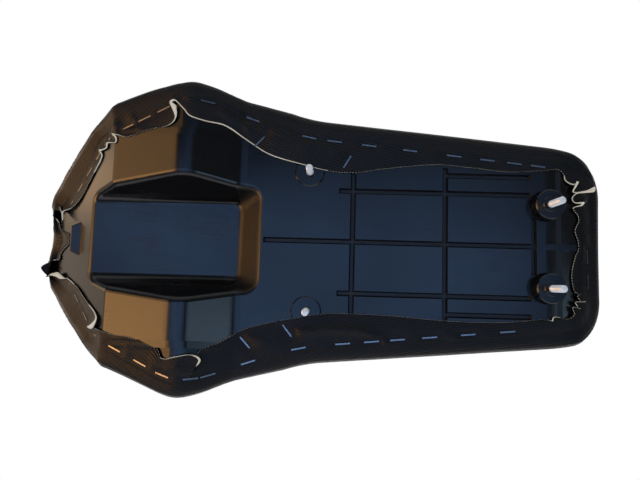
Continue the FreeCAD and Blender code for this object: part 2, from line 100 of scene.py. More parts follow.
EDGE_RIGHT = [
    # fold on the nose that stands out past the rim
    (0.007, 240, 5, 0.4, 0.15), (0.012, 246, 8, 0.3, 0.15), (0.02, 252, 14, 0.4, 0.15), (0.027, 252, 19, 1.0, 0.15),
    (0.033, 259, 20, 3.0, 0.3), (0.04, 271, 27, 5.0, 0.4), (0.046, 260, 35, 4.0, 0.4), (0.05, 257, 33, 4.5, 1.0),
    (0.057, 250, 34, 3.5, 3.6), (0.066, 243, 37, 2.5, 2.4), (0.075, 238, 38, 1.6, 0.4), (0.089, 233, 39, 1.2, 0.3),
    (0.117, 215, 47, 0.8, 0.15), (0.145, 200, 57, 0.8, 0.15),
    # tuck with a turned-out corner, then the flap beside it
    (0.172, 182, 68, 1.2, 0.3), (0.18, 179, 72, 2.0, 0.8), (0.187, 184, 77, 3.0, 4.4), (0.193, 190, 80, 3.0, 1.0),
    (0.2, 181, 80, 2.0, 0.15), (0.212, 171, 82, 1.0, 0.15), (0.229, 162, 84, 1.2, 0.15), (0.253, 145, 85, 0.5, 0.15),
    (0.279, 129, 90, 0.5, 0.15), (0.296, 119, 94, 1.0, 0.15), (0.304, 116, 100, 1.6, 0.15),
    (0.314, 112, 101, 1.5, 0.4), (0.33, 104, 99, 2.0, 0.6), (0.348, 93, 97, 4.0, 0.3), (0.353, 87, 101, 5.0, 1.9),
    (0.358, 91, 108, 3.5, 0.3), (0.363, 94, 111, 1.5, 0.15), (0.369, 92, 106, 0.8, 0.15), (0.376, 89, 98, 0.4, 0.15),
    # long plain run to the tail
    (0.388, 84, 93, 0.3, 0.15), (0.408, 72, 88, 0.3, 0.15), (0.43, 60, 81, 0.3, 0.15), (0.45, 47, 75, 0.3, 0.15),
    (0.478, 28, 70, 0.5, 0.15), (0.503, 9, 66, 1.0, 0.15), (0.53, -12, 62, 0.8, 0.15), (0.575, -42, 61, 0.4, 0.15),
    (0.629, -78, 62, 0.3, 0.15), (0.673, -107, 64, 0.3, 0.15), (0.72, -138, 65, 0.3, 0.15),
    (0.77, -171, 64, 0.3, 0.15), (0.797, -189, 62, 0.3, 0.15), (0.818, -202, 61, 0.5, 0.15),
    (0.824, -206, 62, 1.0, 0.6), (0.828, -207, 59, 1.0, 0.6),
    # gathers round the corner
    (0.836, -213, 59, 1.5, 0.15), (0.846, -219, 60, 2.0, 0.15), (0.856, -224, 56, 3.0, 0.15),
    (0.868, -222, 50, 3.5, 0.15), (0.878, -229, 51, 4.0, 0.5), (0.886, -224, 46, 4.0, 0.15),
    (0.896, -234, 45, 4.0, 0.5), (0.906, -227, 41, 3.0, 0.15), (0.914, -231, 38, 2.5, 0.15),
    (0.924, -226, 37, 1.5, 0.15), (0.94, -225, 33, 1.0, 0.15), (0.955, -224, 26, 0.8, 0.15),
    (0.972, -225, 18, 0.6, 0.15), (0.988, -228, 8, 0.6, 0.15)]

# How far the stuffed side swells past the moulded rim: share of the way round, millimetres
SWELL_LEFT = [(0.0, 4.0), (0.03, 7.0), (0.06, 14.0), (0.1, 17.5), (0.15, 15.0), (0.2, 9.0), (0.26, 7.5), (0.29, 6.5),
              (0.33, 1.5), (0.37, 2.5), (0.4, 3.5), (0.5, 3.0), (0.7, 2.5), (0.9, 1.5), (1.0, 0.0)]
SWELL_RIGHT = [(0.0, 4.0), (0.03, 8.0), (0.06, 13.0), (0.1, 14.0), (0.14, 11.0), (0.18, 5.0), (0.22, 1.0),
               (0.26, 0.0), (0.4, 0.0), (1.0, 0.0)]

# Creases in the turned-under hem: points of the line seen from above, height and half width in millimetres
CREASES = [([(4, -77), (-20, -74), (-42, -74), (-54, -77), (-68, -84)], 2.6, 2.6),
           ([(159, 105), (153, 98), (146, 91)], 1.8, 4.0), ([(172, 98), (168, 93)], 1.4, 3.0),
           ([(104, -108), (112, -112), (122, -104)], 1.2, 5.0), ([(150, -98), (146, -88)], 1.0, 5.0),
           ([(40, 88), (22, 84), (4, 84)], 0.9, 4.0), ([(-30, 78), (-60, 84), (-90, 88)], 0.9, 4.0),
           ([(-150, 76), (-175, 78)], 0.7, 3.5), ([(-120, -78), (-150, -76)], 0.7, 3.5),
           ([(107, 120), (95, 116), (83, 112), (71, 105), (55, 97)], 1.9, 3.4),
           ([(101, 124), (86, 120), (71, 115), (54, 106), (43, 100)], 1.7, 3.4),
           ([(32, 95), (10, 88), (-17, 81), (-30, 78)], 1.3, 3.2),
           ([(96, -113), (85, -111)], 1.2, 4.0), ([(74, -90), (59, -82), (36, -85)], 1.5, 3.2)]

# The cut edge is pale all along where more backing than this turns out, in millimetres, and elsewhere only in threads:
# rows that the edge takes up, and every how many stations a thread shows
PALE_STRIP = 0.2
EDGE_ROWS = 3
FRAY_STEP = 2

# Rows of the cover on the flange: share of the way from the rim to the cut edge, on the backing and on the face
BACKING_SHARES = (0.5, 0.66, 0.8, 0.9, 0.97)
FACE_SHARES = (1.0, 0.985, 0.955, 0.91, 0.85, 0.78, 0.7, 0.61, 0.52, 0.43, 0.34, 0.25, 0.16, 0.08, 0.0)
# Rows round the rim: angle in degrees, share of the move from the hem's places to the side's, share of the swell
LOW_TURNS = ((-70, 0.1, 0.8), (-52, 0.3, 1.0), (-35, 0.55, 1.0), (-18, 0.8, 1.0))
# Rows up the side, over the shoulder (degrees) and on to the middle of the top (share of the way)
SIDE_STEPS = 13
HIGH_TURNS = (15, 30, 45, 60, 75, 90)
TOP_SHARES = (0.07, 0.15, 0.25, 0.36, 0.48, 0.6, 0.72, 0.84, 0.94, 1.0)
# Middle line of the top, from tail to nose
TOP_SPAN = (-185.0, 190.0)
# How deep the shoulder's fan of rays starts: share of the way round, millimetres
SHOULDER = [(0.0, 18.0), (0.08, 18.0), (0.16, 30.0), (0.78, 30.0), (0.86, 22.0), (1.0, 22.0)]
# How the swell fades up the side: share of the height, share of the swell
SWELL_FADE = [(0.0, 1.0), (0.25, 1.0), (0.6, 0.65), (1.0, 0.0)]
# Hem: slack between its two edges, width of the dimple at a staple, width of the part that follows the swell,
# least and greatest inset of its outer end, gap under the backing and gap kept to the pan's humps
SLACK = 3.4
DIMPLE = 4.5
SWELL_INSET = 16.0
TURN_IN = (1.5, 12.0)
BACKING_GAP = 0.06
PAN_GAP = 0.1
# Rays start this far from the core that they aim at. Seen from above the cores lie at this level, and the height of
# the top is taken this far in from the rim
RAY = 300.0
CORE_LEVEL = 60.0
TOP_REACH = 40.0
# Cores of the side: height of the lowest over the rim, least height from there to the highest, and inset
CORE_LIFT = 9.0
SIDE_HEIGHT = 4.0
SIDE_INSET = 16.0

# Studs: M6 thread and hexagon head, with the steps of the mesh round the shaft and along one pitch
STUD_RADIUS = 2.95 * MM
STUD_SIDES = 36
STUD_CHAMFER = 0.9 * MM
THREAD_PITCH = 1.0 * MM
THREAD_DEPTH = 0.42 * MM
THREAD_RUNOUT = 1.5 * MM
THREAD_STEPS = 8
HEAD_HEIGHT = 4.0 * MM
HEAD_HALF = 5.0 * MM

# Pitch of the vinyl's ribs and of the knots along them, and of the backing's weave
RIB_PITCH = 2.2 * MM
KNOT_PITCH = 1.6 * MM
WARP_PITCH = 0.9 * MM
WEFT_PITCH = 0.7 * MM


# Small geometry helpers

def rounded(corners, step):
    """Points along straight runs and corner arcs, about step apart. The first and last corner have no radius."""
    arcs = []
    for i, (u, v, radius) in enumerate(corners):
        here = np.array((u, v), dtype=float)
        if radius <= 0:
            arcs.append([here])
            continue
        back = np.array(corners[i - 1][:2]) - here
        ahead = np.array(corners[i + 1][:2]) - here
        back /= np.linalg.norm(back)
        ahead /= np.linalg.norm(ahead)
        half = math.acos(np.clip(back @ ahead, -1, 1)) / 2
        trim = radius / math.tan(half)
        middle = (back + ahead) / np.linalg.norm(back + ahead)
        centre = here + middle * radius / math.sin(half)
        start = here + back * trim - centre
        turn = math.pi - 2 * half
        sign = 1 if start[0] * ahead[1] - start[1] * ahead[0] > 0 else -1
        arc = []
        for k in np.linspace(0, 1, max(3, int(turn * radius / step) + 1)):
            c, s = math.cos(sign * turn * k), math.sin(sign * turn * k)
            arc.append(centre + np.array((c * start[0] - s * start[1], s * start[0] + c * start[1])))
        arcs.append(arc)
    points = []
    for arc, following in zip(arcs, arcs[1:]):
        last, first = arc[-1], following[0]
        runs = max(1, int(np.linalg.norm(first - last) / step))
        points.extend(arc)
        points.extend(last + (first - last) * k / runs for k in range(1, runs))
    points.extend(arcs[-1])
    return np.array(points)


def soft_noise(seed, count, waves):
    """Repeatable smooth wobble along a closed loop, about -1 to 1."""
    rng = np.random.default_rng(seed)
    angle = np.linspace(0, 2 * math.pi, count, endpoint=False)
    total = np.zeros(count)
    for wave in waves:
        total += rng.uniform(0.5, 1) * np.sin(wave * angle + rng.uniform(0, 6.28))
    return total / len(waves)


def loop_average(values, reach):
    """Running mean round a closed loop."""
    return sum(np.roll(values, k, axis=0) for k in range(-reach, reach + 1)) / (2 * reach + 1)


def filled(row):
    """Row of a closed loop with its gaps bridged from their neighbours."""
    at = np.arange(len(row))
    good = ~np.isnan(row[:, 0])
    return np.stack([np.interp(at, at[good], row[good, k], period=len(row)) for k in range(3)], axis=1)


def unit(vectors):
    """Rows brought to length 1."""
    return vectors / np.linalg.norm(vectors, axis=1)[:, None]


def part_along(vectors, directions):
    """How far each row goes along its direction."""
    return np.einsum("ij,ij->i", vectors, directions)


def table(places, pairs):
    """Values at places, read off straight lines between pairs."""
    return np.interp(places, *np.array(pairs).T)


def surface_finder(obj):
    """Ray caster for an object's faces, in metres."""
    points = [obj.matrix_world @ v.co for v in obj.data.vertices]
    return BVHTree.FromPolygons(points, [tuple(p.vertices) for p in obj.data.polygons])


def staple_finder():
    """Distance in millimetres, seen from above, to the nearest staple."""
    source = nodes["staples"]
    ends = [(source.matrix_world @ v.co) / MM for v in source.data.vertices]
    spots = []
    for edge in source.data.edges:
        one, two = (ends[i] for i in edge.vertices)
        steps = max(1, round((two - one).length))
        spots += [one.lerp(two, k / steps) for k in range(steps + 1)]
    tree = KDTree(len(spots))
    for i, spot in enumerate(spots):
        tree.insert((spot.x, spot.y, 0.0), i)
    tree.balance()
    return lambda places: np.array([tree.find((x, y, 0.0))[2] for x, y in places])


# Rim and flange of the pan, in millimetres

flange_line = rounded(FLANGE, 1.0)
rim_half = rounded([(RIM[0][0], 0.0, 0.0)] + RIM + [(RIM[-1][0], 0.0, 0.0)], 0.25)
rim_run = np.concatenate([[0], np.cumsum(np.linalg.norm(np.diff(rim_half, axis=0), axis=1))])
rim_share = rim_run / rim_run[-1]


def flange_level(x):
    return np.interp(x, flange_line[:, 0], flange_line[:, 1])


def flange_slope(x):
    return flange_level(x + 0.5) - flange_level(x - 0.5)


def rim_place(shares, sides):
    """Points of the rim and the directions inwards from it."""
    def at(where):
        return np.stack([np.interp(where, rim_share, rim_half[:, k]) for k in (0, 1)], axis=1)

    ahead = unit(at(shares + 0.002) - at(shares - 0.002))
    inward = np.stack([-ahead[:, 1], ahead[:, 0]], axis=1)
    flip = np.stack([np.ones(len(shares)), sides], axis=1)
    return at(shares) * flip, inward * flip


def around(where):
    """Rim points, directions inwards, swell and share at places round the seat, 0 to 1 on the left and 1 to 2 back."""
    where = where % 2.0
    left = where <= 1
    share = np.where(left, where, 2 - where)
    point, inward = rim_place(share, np.where(left, 1.0, -1.0))
    swell = np.where(left, table(share, SWELL_LEFT), table(share, SWELL_RIGHT))
    return loop_average(point, 2), unit(loop_average(inward, 6)), loop_average(loop_average(swell, 12), 12), share


# Cover: one sheet from the cut edge, round the rim, up the side and over the top

def cut_edge():
    """Stations along the cut edge, round the seat: share, side, place, height off the pan and backing shown."""
    straight = [0, 3, 4]
    right = np.array(EDGE_RIGHT[::-1], dtype=float) * (1, 1, -1, 1, 1)
    knots = np.concatenate([np.array(EDGE_LEFT, dtype=float), right])
    count = len(knots)
    chord = np.linalg.norm(np.roll(knots[:, 1:3], -1, axis=0) - knots[:, 1:3], axis=1) ** 0.5
    fine = []
    for i in range(count):
        before, here, after, beyond = (knots[(i + k) % count] for k in (-1, 0, 1, 2))
        a, b, c = chord[i - 1], chord[i], chord[(i + 1) % count]
        leave = ((here - before) / a - (after - before) / (a + b) + (after - here) / b) * b
        arrive = ((after - here) / b - (beyond - here) / (b + c) + (beyond - after) / c) * b
        for t in np.linspace(0, 1, 24, endpoint=False):
            t2, t3 = t * t, t * t * t
            knot = (here * (2 * t3 - 3 * t2 + 1) + leave * (t3 - 2 * t2 + t)
                    + after * (3 * t2 - 2 * t3) + arrive * (t3 - t2))
            knot[straight] = here[straight] + (after - here)[straight] * t
            fine.append(knot)
    fine = np.array(fine)
    step = np.linalg.norm(np.roll(fine[:, 1:3], -1, axis=0) - fine[:, 1:3], axis=1)
    run = np.concatenate([[0], np.cumsum(step)])
    closed = np.concatenate([fine, fine[:1]])
    at = np.linspace(0, run[-1], STATIONS, endpoint=False)
    out = np.stack([np.interp(at, run, closed[:, k]) for k in range(5)], axis=1)
    return np.clip(out[:, 0], 0, 1), np.sign(out[:, 2] + 1e-6), out[:, 1:3], out[:, 3], out[:, 4]


def crease_height(places):
    """Raised lines where the hem is pulled between its staples."""
    total = np.zeros(len(places))
    for line, height, half in CREASES:
        for one, two in zip(line, line[1:]):
            one, two = np.array(one, dtype=float), np.array(two, dtype=float)
            t = np.clip((places - one) @ (two - one) / ((two - one) @ (two - one)), 0, 1)
            away = np.linalg.norm(places - one - t[:, None] * (two - one), axis=1)
            total = np.maximum(total, height * np.exp(-(away / half) ** 2))
    return total


def cover_rows():
    """Rows of points in millimetres, from inside the hem to the middle of the top, and their cloth coordinates."""
    shares, sides, edge_xy, lift, strip = cut_edge()
    count = len(shares)
    trend = 2.0 * np.arange(count) / count
    round_hem = np.where(sides > 0, shares, 2 - shares)
    round_side = trend + loop_average(loop_average(round_hem - trend, 24), 24)
    outside, pan = surface_finder(nodes["seat_cover"]), surface_finder(nodes["seat_pan"])
    to_staple = staple_finder()

    def seen(core, way):
        """Point of the CAD cover met on the way in to core."""
        hit = outside.ray_cast(Vector((core + way * RAY) * MM), Vector(-way), 2 * RAY * MM)[0]
        return None if hit is None else np.array(hit) / MM

    def top_over(places):
        """Points of the CAD cover's top over places seen from above."""
        row = np.full((count, 3), np.nan)
        for i, (x, y) in enumerate(places):
            hit = seen(np.array((x, y, CORE_LEVEL)), UP)
            if hit is not None:
                row[i] = hit
        return filled(row)

    def over_pan(x, y, z, thickness):
        """How much lower a point of the hem has to lie to clear the pan's humps and discs."""
        hit = pan.ray_cast(Vector((x, y, -RAY)) * MM, Vector(UP), 2 * RAY * MM)[0]
        return 0.0 if hit is None else max(0.0, z - (hit[2] / MM - thickness - PAN_GAP))

    # Hem: from the cut edge out to where the cover turns round the rim
    points, inwards, swell, _ = around(round_hem)
    along = np.stack([-inwards[:, 1], inwards[:, 0]], axis=1)
    turn_in = loop_average(np.clip(0.5 * part_along(edge_xy - points, inwards), *TURN_IN), 8)
    start = points + inwards * turn_in[:, None]
    loose = soft_noise(5, count, (16, 25, 34, 52))
    ahead = unit(loop_average(np.roll(edge_xy, -1, axis=0) - np.roll(edge_xy, 1, axis=0), 1))
    past_edge = np.stack([-ahead[:, 1], ahead[:, 0]], axis=1)
    rows, flat, spots = [], [], []

    def flange_row(share_in, thickness, past):
        xy = start + (edge_xy - start) * share_in + past_edge * past[:, None]
        inset = part_along(xy - points, inwards)
        xy = xy - inwards * (swell * np.clip(1 - inset / SWELL_INSET, 0, 1))[:, None]
        normal = unit(np.stack([flange_slope(xy[:, 0]), np.zeros(count), -np.ones(count)], axis=1))
        slack = SLACK * (1 + 0.9 * loose) * share_in * (1 - share_in)
        free = 1 - np.exp(-(to_staple(xy) / DIMPLE) ** 2)
        fold = crease_height(xy) * min(1.0, 4 * (1 - share_in) + 0.45)
        depth = thickness + lift * share_in ** 1.7 + (slack + fold) * free
        place = np.stack([xy[:, 0], xy[:, 1], flange_level(xy[:, 0])], axis=1) + normal * depth[:, None]
        rise = np.array([over_pan(*spot, thickness) for spot in place])
        place[:, 2] -= np.maximum(rise, loop_average(rise, 3))
        rows.append(place)
        flat.append((inset, part_along(xy - points, along)))

    none = np.zeros(count)
    for share_in in BACKING_SHARES:
        flange_row(share_in, BACKING_GAP, none)
    flange_row(1.0, BACKING_GAP, strip * 0.75)
    flange_row(1.0, 0.5, strip)
    flange_row(1.0, 1.0, strip * 0.45 * np.clip(strip, 0, 1) ** 0.5)
    backing_rows = len(rows)
    for share_in in FACE_SHARES:
        flange_row(share_in, COVER, none)
    hem_rows = len(rows)

    # Rim, side and shoulder: rays fan out from cores inside the cover
    plan = [("low", math.radians(angle), ease, out) for angle, ease, out in LOW_TURNS]
    plan += [("side", step, 1.0, None) for step in np.linspace(0, 1, SIDE_STEPS)]
    plan += [("high", math.radians(angle), 1.0, None) for angle in HIGH_TURNS]
    for kind, value, ease, out in plan:
        where = round_hem + (round_side - round_hem) * ease
        point, inward_xy, swell_here, share = around(where)
        rim_z = flange_level(point[:, 0])
        top_z = top_over(point + inward_xy * TOP_REACH)[:, 2]
        inside = loop_average(table(share, SHOULDER), 8)
        low = rim_z + CORE_LIFT
        high = np.maximum(top_z - 0.9 * inside, low + SIDE_HEIGHT)
        if kind == "low":
            level, pull, angle = low, turn_in + 2.0, value
        elif kind == "side":
            level, pull, angle = low + (high - low) * value, np.full(count, SIDE_INSET), 0.0
        else:
            level, pull, angle = high, inside, value
        row = np.full((count, 3), np.nan)
        for i in range(count):
            inward = np.array((*inward_xy[i], 0.0))
            hit = seen(np.array((*point[i], level[i])) + inward * pull[i],
                       UP * math.sin(angle) - inward * math.cos(angle))
            if hit is not None:
                height = (hit[2] - rim_z[i]) / (top_z[i] - rim_z[i])
                row[i] = hit - inward * swell_here[i] * (table(height, SWELL_FADE) if out is None else out)
        rows.append(filled(row))
        spots.append((where, inward_xy))

    # Cloth laid flat: the top as seen from above, the rest rolled out from its edge
    edge = rows[-1]
    wide = np.concatenate([round_side - 2, round_side, round_side + 2])
    edge_thrice = np.concatenate([edge, edge, edge])

    def edge_at(where):
        return np.stack([np.interp(where, wide, edge_thrice[:, k]) for k in (0, 1)], axis=1)

    cloth = [None] * len(rows)
    cloth[-1] = edge[:, :2]
    gone = np.zeros(count)
    for r in range(len(rows) - 2, hem_rows - 1, -1):
        where, inward_xy = spots[r - hem_rows]
        gone = gone + np.linalg.norm(rows[r] - rows[r + 1], axis=1)
        cloth[r] = edge_at(where) - inward_xy * gone[:, None]
    gone = loop_average(gone, 3) + 4.0
    for r, (inset, slide) in enumerate(flat):
        cloth[r] = edge_at(round_hem) - inwards * (gone + inset - turn_in)[:, None] + along * slide[:, None]

    # Top: from the shoulder to the middle line
    middle = np.stack([np.clip(edge[:, 0], *TOP_SPAN), np.zeros(count)], axis=1)
    for share_in in TOP_SHARES:
        xy = edge[:, :2] + (middle - edge[:, :2]) * share_in
        rows.append(top_over(xy))
        cloth.append(xy)
    return rows, cloth, backing_rows, strip


def make_cover():
    rows, cloth, backing_rows, strip = cover_rows()
    count = len(rows[0])
    mesh = bpy.data.meshes.new("cover_sheet")
    places = [Vector(p * MM) for row in rows for p in row]
    faces, kinds = [], []
    for r in range(len(rows) - 1):
        for i in range(count):
            j = (i + 1) % count
            faces.append((r * count + i, (r + 1) * count + i, (r + 1) * count + j, r * count + j))
            frayed = r == backing_rows - 2 and i % FRAY_STEP == 0
            pale = r < backing_rows - EDGE_ROWS or frayed or (r < backing_rows and strip[i] > PALE_STRIP)
            kinds.append(1 if pale else 0)
    mesh.from_pydata(places, [], faces)
    mesh.polygons.foreach_set("material_index", kinds)
    layer = mesh.uv_layers.new(name="cloth")
    flat = np.concatenate(cloth) * MM
    index = np.zeros(len(mesh.loops), dtype=np.int32)
    mesh.loops.foreach_get("vertex_index", index)
    layer.data.foreach_set("uv", flat[index].astype(np.float32).ravel())
    obj = bpy.data.objects.new("cover", mesh)
    bpy.context.collection.objects.link(obj)
    sheet = bmesh.new()
    sheet.from_mesh(mesh)
    bmesh.ops.remove_doubles(sheet, verts=sheet.verts, dist=0.02 * MM)
    bmesh.ops.recalc_face_normals(sheet, faces=sheet.faces)
    sheet.to_mesh(mesh)
    sheet.free()
    mesh.polygons.foreach_set("use_smooth", [True] * len(mesh.polygons))
    return obj


# Studs with a rolled thread

def ring_of(shape, x, y, z, radii):
    """Ring of points round an upright axis, one for each radius."""
    ring = []
    for a, r in enumerate(radii):
        angle = 2 * math.pi * a / len(radii)
        ring.append(shape.verts.new((x + r * math.cos(angle), y + r * math.sin(angle), z)))
    return ring


def join_rings(shape, rings):
    for one, two in zip(rings, rings[1:]):
        for a in range(len(one)):
            b = (a + 1) % len(one)
            shape.faces.new((one[a], one[b], two[b], two[a]))


def make_stud(node, base, tip):
    """Threaded shaft in place of a plain one, with its hexagon head on the foam side."""
    low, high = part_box(node)
    x, y, top = (low[0] + high[0]) / 2, (low[1] + high[1]) / 2, high[2]
    turns = np.arange(STUD_SIDES) / STUD_SIDES
    shape = bmesh.new()
    shaft = []
    steps = int((base - tip) / (THREAD_PITCH / THREAD_STEPS))
    for k in range(steps + 1):
        z = base - (base - tip) * k / steps
        wave = 0.5 - 0.5 * np.cos(2 * math.pi * (((base - z) / THREAD_PITCH + turns) % 1.0))
        cut = THREAD_DEPTH * wave ** 0.8 * min(1.0, (base - z) / THREAD_RUNOUT)
        shaft.append(ring_of(shape, x, y, z, STUD_RADIUS - cut - max(0.0, tip + STUD_CHAMFER - z)))
    join_rings(shape, shaft)
    shape.faces.new(shaft[-1])
    sixth = math.pi / 3
    hexagon = HEAD_HALF / np.cos((2 * math.pi * turns) % sixth - sixth / 2)
    seat = top - HEAD_HEIGHT
    head = [ring_of(shape, x, y, z, hexagon * scale)
            for z, scale in ((seat, 0.97), (seat + 0.15 * MM, 1.0), (top - 0.5 * MM, 1.0), (top, 0.9))]
    join_rings(shape, head)
    shape.faces.new(list(reversed(head[-1])))
    join_rings(shape, [shaft[0], head[0]])
    bmesh.ops.recalc_face_normals(shape, faces=shape.faces)
    mesh = bpy.data.meshes.new(node + "_threaded")
    shape.to_mesh(mesh)
    shape.free()
    mesh.polygons.foreach_set("use_smooth", [True] * len(mesh.polygons))
    mesh.set_sharp_from_angle(angle=math.radians(40))
    obj = bpy.data.objects.new(node + "_threaded", mesh)
    bpy.context.collection.objects.link(obj)
    return obj


def make_staples():
    """Staples with the worn edges of flat wire."""
    source = nodes["staples"]
    mesh = source.data.copy()
    mesh.name = "staple_wires"
    obj = bpy.data.objects.new("staple_wires", mesh)
    obj.matrix_world = source.matrix_world
    bpy.context.collection.objects.link(obj)
    shape = bmesh.new()
    shape.from_mesh(mesh)
    bmesh.ops.remove_doubles(shape, verts=shape.verts, dist=0.005 * MM)
    bmesh.ops.dissolve_limit(shape, angle_limit=math.radians(2), verts=shape.verts, edges=shape.edges)
    bmesh.ops.bevel(shape, geom=shape.edges[:], offset=0.14 * MM, segments=2, affect="EDGES", clamp_overlap=True)
    shape.to_mesh(mesh)
    shape.free()
    mesh.polygons.foreach_set("use_smooth", [False] * len(mesh.polygons))
    return obj


# Materials

def add_node(tree, kind, **inputs):
    """New node: set_NAME gives a property, inN or a name an input's value or the output that feeds it."""
    made = tree.nodes.new(kind)
    for key, value in inputs.items():
        if key.startswith("set_"):
            setattr(made, key[4:], value)
            continue
        socket = made.inputs[int(key[2:]) if key.startswith("in") else key]
        if hasattr(value, "is_output"):
            tree.links.new(value, socket)
        else:
            socket.default_value = value
    return made


class Shader:
    """Small builder for a procedural surface."""

    def __init__(self, name):
        self.material = bpy.data.materials.new(name)
        self.material.use_nodes = True
        self.tree = self.material.node_tree
        self.surface = self.tree.nodes["Principled BSDF"]

    def node(self, kind, **inputs):
        return add_node(self.tree, kind, **inputs)

    def math(self, operation, a, b=0.0):
        return self.node("ShaderNodeMath", set_operation=operation, in0=a, in1=b).outputs[0]

    def blend(self, a, a_share, b, b_share):
        """Weighted sum of two values."""
        return self.math("ADD", self.math("MULTIPLY", a, a_share), self.math("MULTIPLY", b, b_share))

    def wave(self, at):
        """Sine of a value, brought to 0 to 1."""
        return self.math("ADD", self.math("MULTIPLY", self.math("SINE", at), 0.5), 0.5)

    def ramp(self, value, stops):
        made = self.node("ShaderNodeValToRGB", in0=value)
        while len(made.color_ramp.elements) < len(stops):
            made.color_ramp.elements.new(0.5)
        for element, (at, color) in zip(made.color_ramp.elements, stops):
            element.position = at
            element.color = (*color, 1) if hasattr(color, "__len__") else (color, color, color, 1)
        return made.outputs[0]

    def noise(self, vector, scale, detail=3.0, rough=0.5):
        made = self.node("ShaderNodeTexNoise", Vector=vector, Scale=scale, Detail=detail, Roughness=rough)
        return made.outputs["Fac"]

    def bump(self, height, strength, distance, normal=None):
        made = self.node("ShaderNodeBump", Height=height, Strength=strength, Distance=distance)
        if normal is not None:
            self.tree.links.new(normal, made.inputs["Normal"])
        return made.outputs[0]

    def object_place(self):
        return self.node("ShaderNodeTexCoord").outputs["Object"]

    def cloth_place(self):
        cloth = self.node("ShaderNodeUVMap", set_uv_map="cloth").outputs[0]
        return self.node("ShaderNodeSeparateXYZ", in0=cloth).outputs

    def link(self, value, name):
        self.tree.links.new(value, self.surface.inputs[name])

    def set(self, name, value):
        self.surface.inputs[name].default_value = value


def vinyl_material():
    """Black vinyl with a fine ribbed grain, rubbed a little paler on its high spots."""
    s = Shader("ribbed_vinyl")
    cloth = s.cloth_place()
    wander = s.noise(s.object_place(), 60.0, 2.0)
    rib_at = s.blend(cloth[1], 2 * math.pi / RIB_PITCH, wander, 1.6)
    sway = s.math("SINE", s.math("MULTIPLY", rib_at, 0.5))
    knot_at = s.blend(cloth[0], 2 * math.pi / KNOT_PITCH, sway, 1.6)
    grain = s.blend(s.wave(rib_at), 0.75, s.wave(knot_at), 0.25)
    worn = s.noise(s.object_place(), 18.0, 5.0, 0.6)
    tone = s.math("MULTIPLY", s.math("ADD", s.math("MULTIPLY", grain, 0.55), 0.25), s.math("ADD", worn, 0.45))
    s.link(s.ramp(tone, [(0.0, (0.0012, 0.0012, 0.0013)), (0.55, (0.0038, 0.0038, 0.004)),
                         (1.0, (0.010, 0.010, 0.0105))]), "Base Color")
    s.link(s.ramp(s.blend(worn, 0.6, grain, 0.25), [(0.2, 0.34), (0.8, 0.56)]), "Roughness")
    fine = s.bump(grain, 0.7, 0.4 * MM)
    s.link(s.bump(s.noise(s.object_place(), 900.0, 2.0), 0.15, 0.1 * MM, fine), "Normal")
    s.set("Specular IOR Level", 0.27)
    return s.material


def backing_material():
    """Pale knitted backing of the vinyl."""
    s = Shader("cloth_backing")
    cloth = s.cloth_place()
    warp = s.math("SINE", s.math("MULTIPLY", cloth[0], 2 * math.pi / WARP_PITCH))
    weft = s.math("SINE", s.math("MULTIPLY", cloth[1], 2 * math.pi / WEFT_PITCH))
    weave = s.math("ADD", s.math("MULTIPLY", s.math("MULTIPLY", warp, weft), 0.5), 0.5)
    dirt = s.noise(s.object_place(), 45.0, 4.0)
    s.link(s.ramp(s.blend(weave, 0.3, dirt, 0.7), [(0.2, (0.42, 0.37, 0.29)), (0.55, (0.72, 0.67, 0.57)),
                                                   (0.9, (0.86, 0.83, 0.76))]), "Base Color")
    s.set("Roughness", 0.85)
    s.link(s.bump(weave, 0.5, 0.2 * MM), "Normal")
    return s.material


def plastic_material():
    """Moulded black plastic: glossy, with flow haze, dust, fine scuffs and duller grooves in the plate."""
    s = Shader("moulded_plastic")
    place = s.object_place()
    haze = s.noise(place, 22.0, 4.0, 0.55)
    dust = s.noise(place, 520.0, 2.0, 0.7)
    streak = s.node("ShaderNodeMapping", Vector=place, Scale=(9.0, 260.0, 60.0)).outputs[0]
    scuff = s.noise(streak, 4.0, 4.0, 0.7)
    s.link(s.ramp(s.blend(haze, 0.8, dust, 0.2), [(0.3, (0.0022, 0.0023, 0.0026)), (0.6, (0.0036, 0.0037, 0.0042)),
                                                  (0.8, (0.007, 0.007, 0.0075))]), "Base Color")
    spot = s.node("ShaderNodeSeparateXYZ", in0=place).outputs
    groove = s.math("MULTIPLY", s.math("GREATER_THAN", spot[2], 0.6 * MM), s.math("LESS_THAN", spot[0], 64 * MM))
    groove = s.math("MULTIPLY", groove, s.math("GREATER_THAN", spot[0], -216 * MM))
    polish = s.ramp(s.blend(haze, 0.5, scuff, 0.5), [(0.3, 0.12), (0.55, 0.2), (0.75, 0.4)])
    s.link(s.math("ADD", polish, s.math("MULTIPLY", groove, 0.3)), "Roughness")
    ripple = s.bump(s.noise(place, 35.0, 2.0), 0.12, 0.6 * MM)
    s.link(s.bump(dust, 0.05, 0.1 * MM, ripple), "Normal")
    s.set("Specular IOR Level", 0.55)
    return s.material


def metal_material(name, low, high, roughness, scale, metallic):
    """Plated steel with a cloudy tone and drawn lines."""
    s = Shader(name)
    place = s.object_place()
    cloud = s.noise(place, scale, 4.0, 0.6)
    drawn = s.noise(s.node("ShaderNodeMapping", Vector=place, Scale=(60.0, 60.0, 900.0)).outputs[0], 6.0, 2.0)
    s.link(s.ramp(cloud, [(0.3, low), (0.7, high)]), "Base Color")
    s.link(s.ramp(drawn, [(0.2, roughness * 0.8), (0.8, roughness * 1.3)]), "Roughness")
    s.link(s.bump(drawn, 0.12, 0.05 * MM), "Normal")
    s.set("Metallic", metallic)
    return s.material


